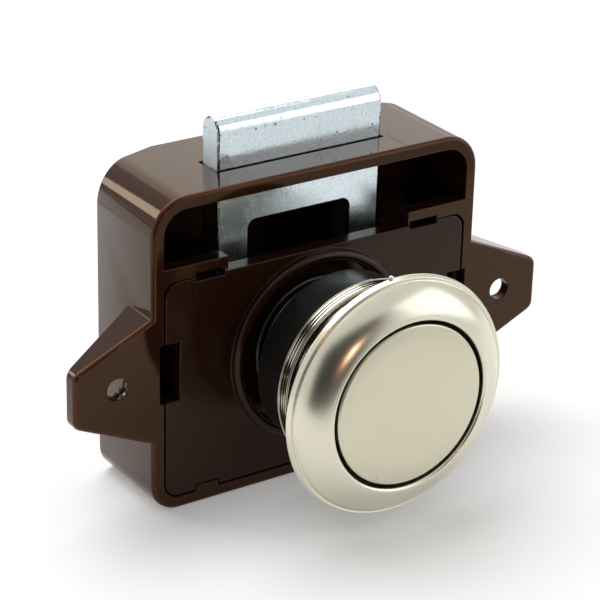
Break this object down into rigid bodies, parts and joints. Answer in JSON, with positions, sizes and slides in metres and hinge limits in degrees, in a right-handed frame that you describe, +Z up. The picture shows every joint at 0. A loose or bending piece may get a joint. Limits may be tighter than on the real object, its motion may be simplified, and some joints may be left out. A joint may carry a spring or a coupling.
{
  "type": "pushbutton cabinet lock",
  "caption": "Pushbutton lock for a cabinet door: moulded case with screw ears, sliding latch bolt, push knob that pops out as a pull, and a metal rosette for the door's front.",
  "frame": {"origin": "midway between the two screw holes, on the face of the case that meets the back of the door", "axes": "+X to the right seen from the front of the door, +Y into the cabinet, +Z up, the way the bolt leaves the case"},
  "size_m": [0.0724, 0.0381, 0.0504],
  "materials": {
    "brown_plastic": "glossy moulded dark brown plastic",
    "zinc_plated_steel": "bright bluish zinc plating, slightly mottled",
    "spring_steel": "dark oiled steel",
    "black_plastic": "satin moulded black plastic",
    "satin_nickel": "satin nickel plating on cast zinc and pressed steel"
  },
  "bodies": {
    "root": {"case": "brown_plastic", "cover_plate": "brown_plastic", "rosette": "satin_nickel", "main_spring": "spring_steel", "follower_wire": "spring_steel"},
    "knob": {"knob_body": "black_plastic", "button_cap": "satin_nickel", "knob_screw": "zinc_plated_steel", "cam_slider": "black_plastic"},
    "bolt": {"latch_bolt": "zinc_plated_steel", "cross_pin": "spring_steel"}
  },
  "joints": [
    {"name": "button_slide", "type": "slide", "parent": "root", "child": "knob", "axis": [0, -1, 0], "range_m": [0, 0.006], "deforming": ["main_spring", "follower_wire"]},
    {"name": "bolt_slide", "type": "slide", "parent": "root", "child": "bolt", "axis": [0, 0, -1], "range_m": [0, 0.00675]}
  ],
  "couplings": [
    {"joint": "bolt_slide", "follows": "button_slide", "ratio": 1.125}
  ]
}
